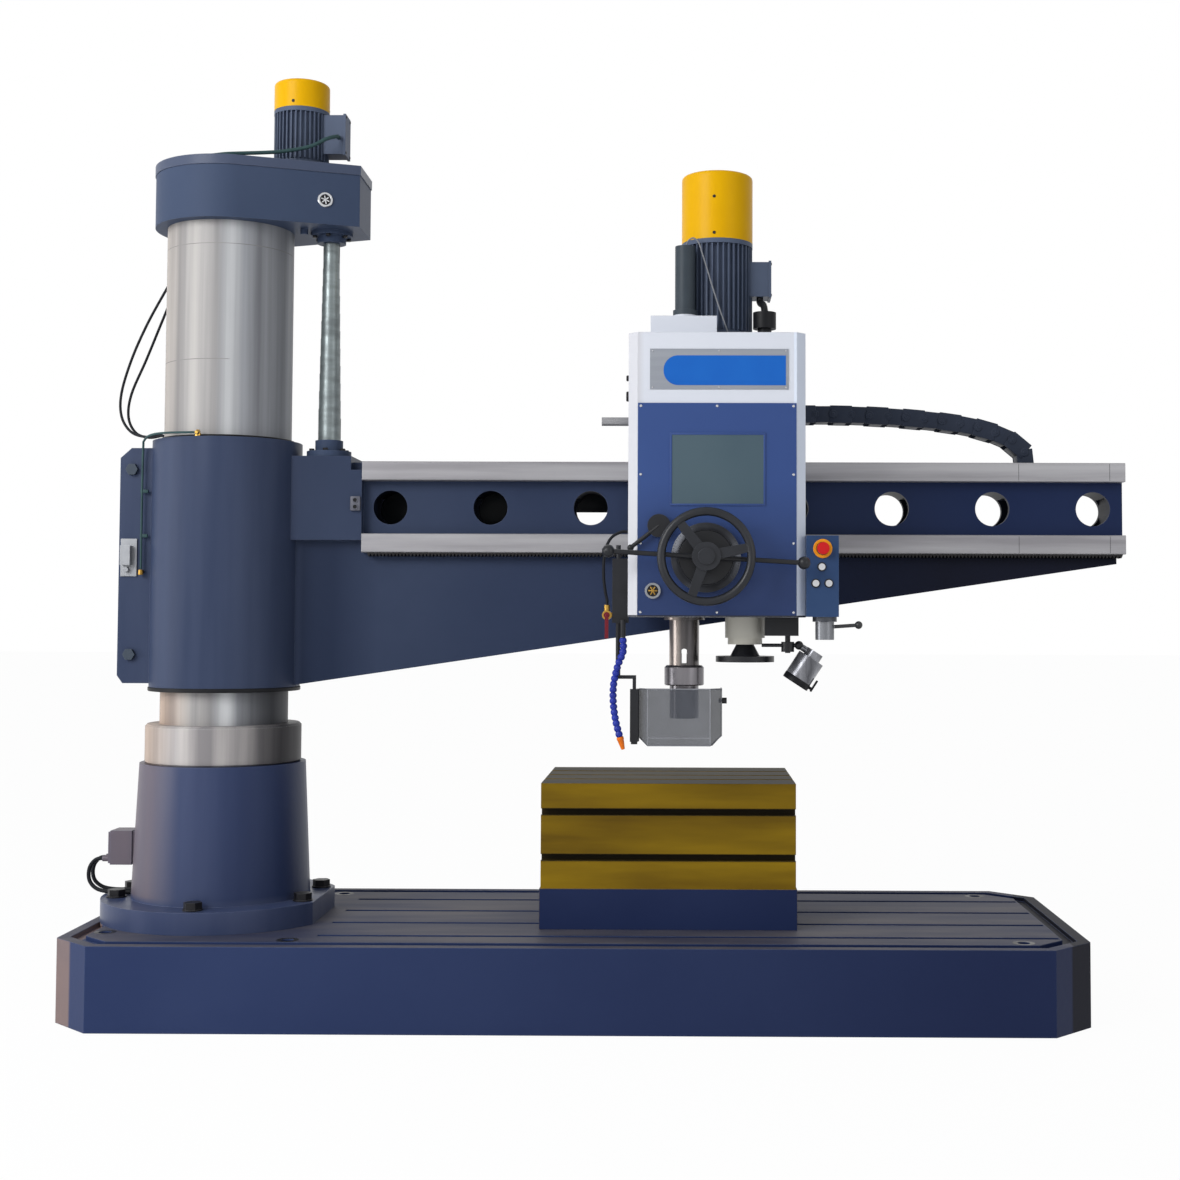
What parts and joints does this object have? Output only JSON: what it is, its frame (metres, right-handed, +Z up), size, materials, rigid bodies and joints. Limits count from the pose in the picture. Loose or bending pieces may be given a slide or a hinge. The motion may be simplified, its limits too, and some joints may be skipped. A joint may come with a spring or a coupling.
{
  "type": "radial arm drill",
  "caption": "Floor-standing radial drilling machine: T-slotted base and box table, turning column, lifting arm and a sliding drill head with quill feed.",
  "frame": {"origin": "on the floor, on the column's axis", "axes": "+X along the arm away from the column, -Y towards the operator, +Z up"},
  "size_m": [3.7209, 1.3313, 3.305],
  "materials": {
    "navy_paint": "gloss paint on castings",
    "base_paint": "painted casting with a planed top",
    "table_iron": "oiled machined iron over a painted skirt",
    "turned_steel": "turned and polished",
    "ground_steel": "ground",
    "black_paint": "semi-gloss",
    "yellow_paint": "gloss",
    "white_paint": "fine gloss",
    "blue_paint": "satin",
    "cream_paint": "gloss",
    "screen_face": "tinted cover",
    "plate_metal": "brushed sheet",
    "black_plastic": "moulded",
    "cable_rubber": "smooth sheath",
    "brass": "drawn",
    "sight_glass": "bright rim",
    "guard_sheet": "clear sheet",
    "lamp_metal": "anodised",
    "red_plastic": "moulded",
    "hose_plastic": "jointed segments"
  },
  "bodies": {
    "base": {"base_plate": "base_paint", "column_foot": "navy_paint", "foot_bolts": "black_paint", "inner_column": "ground_steel", "junction_box": "navy_paint", "foot_cables": "cable_rubber", "box_table": "table_iron"},
    "column": {"column_tube": "turned_steel", "clamp_ring": "turned_steel", "column_bearings": "ground_steel", "cap_housing": "navy_paint", "cap_lid": "navy_paint", "lift_motor": "black_paint", "lift_fan_cover": "yellow_paint", "column_cables": "cable_rubber"},
    "screw": {"lift_screw": "ground_steel"},
    "pinion": {"lift_pinion": "ground_steel"},
    "arm": {"arm_casting": "navy_paint", "guide_ways": "ground_steel", "traverse_rack": "ground_steel", "lift_nut": "navy_paint", "clamp_bolts": "black_paint", "limit_switch": "lamp_metal", "lube_pipe": "brass", "screw_cover": "turned_steel", "energy_chain": "black_plastic"},
    "head": {"head_casing": "white_paint", "head_saddle": "white_paint", "front_panel": "blue_paint", "screen": "screen_face", "name_plate": "plate_metal", "main_motor": "black_paint", "main_fan_cover": "yellow_paint", "spindle_tube": "black_paint", "breather_cap": "black_plastic", "feed_dial": "black_paint", "oil_sight_glass": "sight_glass", "feed_unit": "cream_paint", "lamp_bracket": "black_paint", "pendant_box": "blue_paint", "hose_bracket": "black_paint", "coolant_hose": "hose_plastic", "side_pin": "turned_steel"},
    "traverse_wheel": {"traverse_handwheel": "black_plastic"},
    "feed_levers": {"feed_hub": "black_paint"},
    "quill_slide": {"quill": "turned_steel"},
    "spindle_rotor": {"spindle": "turned_steel", "tool_adapter": "turned_steel"},
    "microfeed": {"microfeed_wheel": "black_plastic"},
    "selector": {"selector_lever": "black_plastic"},
    "guard": {"guard_frame": "black_paint", "guard_panes": "guard_sheet"},
    "lamp_swing": {"lamp_arm": "lamp_metal"},
    "lamp_tip": {"lamp_head": "lamp_metal"},
    "estop": {"estop_button": "red_plastic"},
    "start": {"start_button": "plate_metal"},
    "left": {"left_button": "plate_metal"},
    "right": {"right_button": "plate_metal"},
    "stick": {"joystick": "black_plastic"},
    "valve": {"valve_handle": "red_plastic"}
  },
  "joints": [
    {"name": "column_swing", "type": "hinge", "parent": "base", "child": "column", "pos_m": [0, 0, 0.9], "axis": [0, 0, 1], "range_deg": [-180, 180]},
    {"name": "arm_lift", "type": "slide", "parent": "column", "child": "arm", "axis": [0, 0, 1], "range_m": [0, 0.62], "deforming": ["screw_cover", "column_cables"]},
    {"name": "screw_turn", "type": "hinge", "parent": "column", "child": "screw", "pos_m": [0.368, 0, 2], "axis": [0, 0, 1], "continuous": true},
    {"name": "pinion_turn", "type": "hinge", "parent": "column", "child": "pinion", "pos_m": [0.253, 0, 2.86], "axis": [0, 0, 1], "continuous": true},
    {"name": "head_traverse", "type": "slide", "parent": "arm", "child": "head", "axis": [1, 0, 0], "range_m": [-0.94, 1.06], "deforming": ["energy_chain"]},
    {"name": "traverse_turn", "type": "hinge", "parent": "head", "child": "traverse_wheel", "pos_m": [1.734, -0.7, 1.549], "axis": [0, 1, 0], "continuous": true},
    {"name": "quill_feed", "type": "slide", "parent": "head", "child": "quill_slide", "axis": [0, 0, -1], "range_m": [0, 0.22]},
    {"name": "feed_turn", "type": "hinge", "parent": "head", "child": "feed_levers", "pos_m": [1.734, -0.65, 1.549], "axis": [0, 1, 0], "continuous": true},
    {"name": "spindle_turn", "type": "hinge", "parent": "quill_slide", "child": "spindle_rotor", "pos_m": [1.664, -0.3303, 1.2], "axis": [0, 0, 1], "continuous": true},
    {"name": "microfeed_turn", "type": "hinge", "parent": "head", "child": "microfeed", "pos_m": [1.872, -0.3303, 1.212], "axis": [0, 0, 1], "continuous": true},
    {"name": "selector_turn", "type": "hinge", "parent": "head", "child": "selector", "pos_m": [1.58, -0.6, 1.653], "axis": [0, 1, 0], "range_deg": [-40, 20]},
    {"name": "guard_swing", "type": "hinge", "parent": "head", "child": "guard", "pos_m": [1.497, -0.4503, 1.02], "axis": [0, 0, 1], "range_deg": [-100, 0]},
    {"name": "lamp_swivel", "type": "hinge", "parent": "head", "child": "lamp_swing", "pos_m": [2.014, -0.4003, 1.254], "axis": [0, 0, 1], "range_deg": [-30, 45]},
    {"name": "lamp_tilt", "type": "hinge", "parent": "lamp_swing", "child": "lamp_tip", "pos_m": [2.052, -0.4003, 1.26], "axis": [0, 1, 0], "range_deg": [-30, 25]},
    {"name": "estop_press", "type": "slide", "parent": "head", "child": "estop", "axis": [0, 1, 0], "range_m": [0, 0.005], "stiffness_N_per_m": 900, "springref_m": -0.002},
    {"name": "start_press", "type": "slide", "parent": "head", "child": "start", "axis": [0, 1, 0], "range_m": [0, 0.004], "stiffness_N_per_m": 900, "springref_m": -0.002},
    {"name": "left_press", "type": "slide", "parent": "head", "child": "left", "axis": [0, 1, 0], "range_m": [0, 0.004], "stiffness_N_per_m": 900, "springref_m": -0.002},
    {"name": "right_press", "type": "slide", "parent": "head", "child": "right", "axis": [0, 1, 0], "range_m": [0, 0.004], "stiffness_N_per_m": 900, "springref_m": -0.002},
    {"name": "joystick_turn", "type": "hinge", "parent": "head", "child": "stick", "pos_m": [2.127, -0.5453, 1.31], "axis": [0, 0, 1], "range_deg": [-40, 40]},
    {"name": "valve_turn", "type": "hinge", "parent": "head", "child": "valve", "pos_m": [1.404, -0.47, 1.36], "axis": [0, 1, 0], "range_deg": [0, 90]}
  ],
  "couplings": [
    {"joint": "screw_turn", "follows": "arm_lift", "rad_per_m": 523.6},
    {"joint": "pinion_turn", "follows": "arm_lift", "rad_per_m": -1196.8},
    {"joint": "traverse_turn", "follows": "head_traverse", "rad_per_m": -41.667},
    {"joint": "feed_turn", "follows": "quill_feed", "rad_per_m": -41.667}
  ]
}
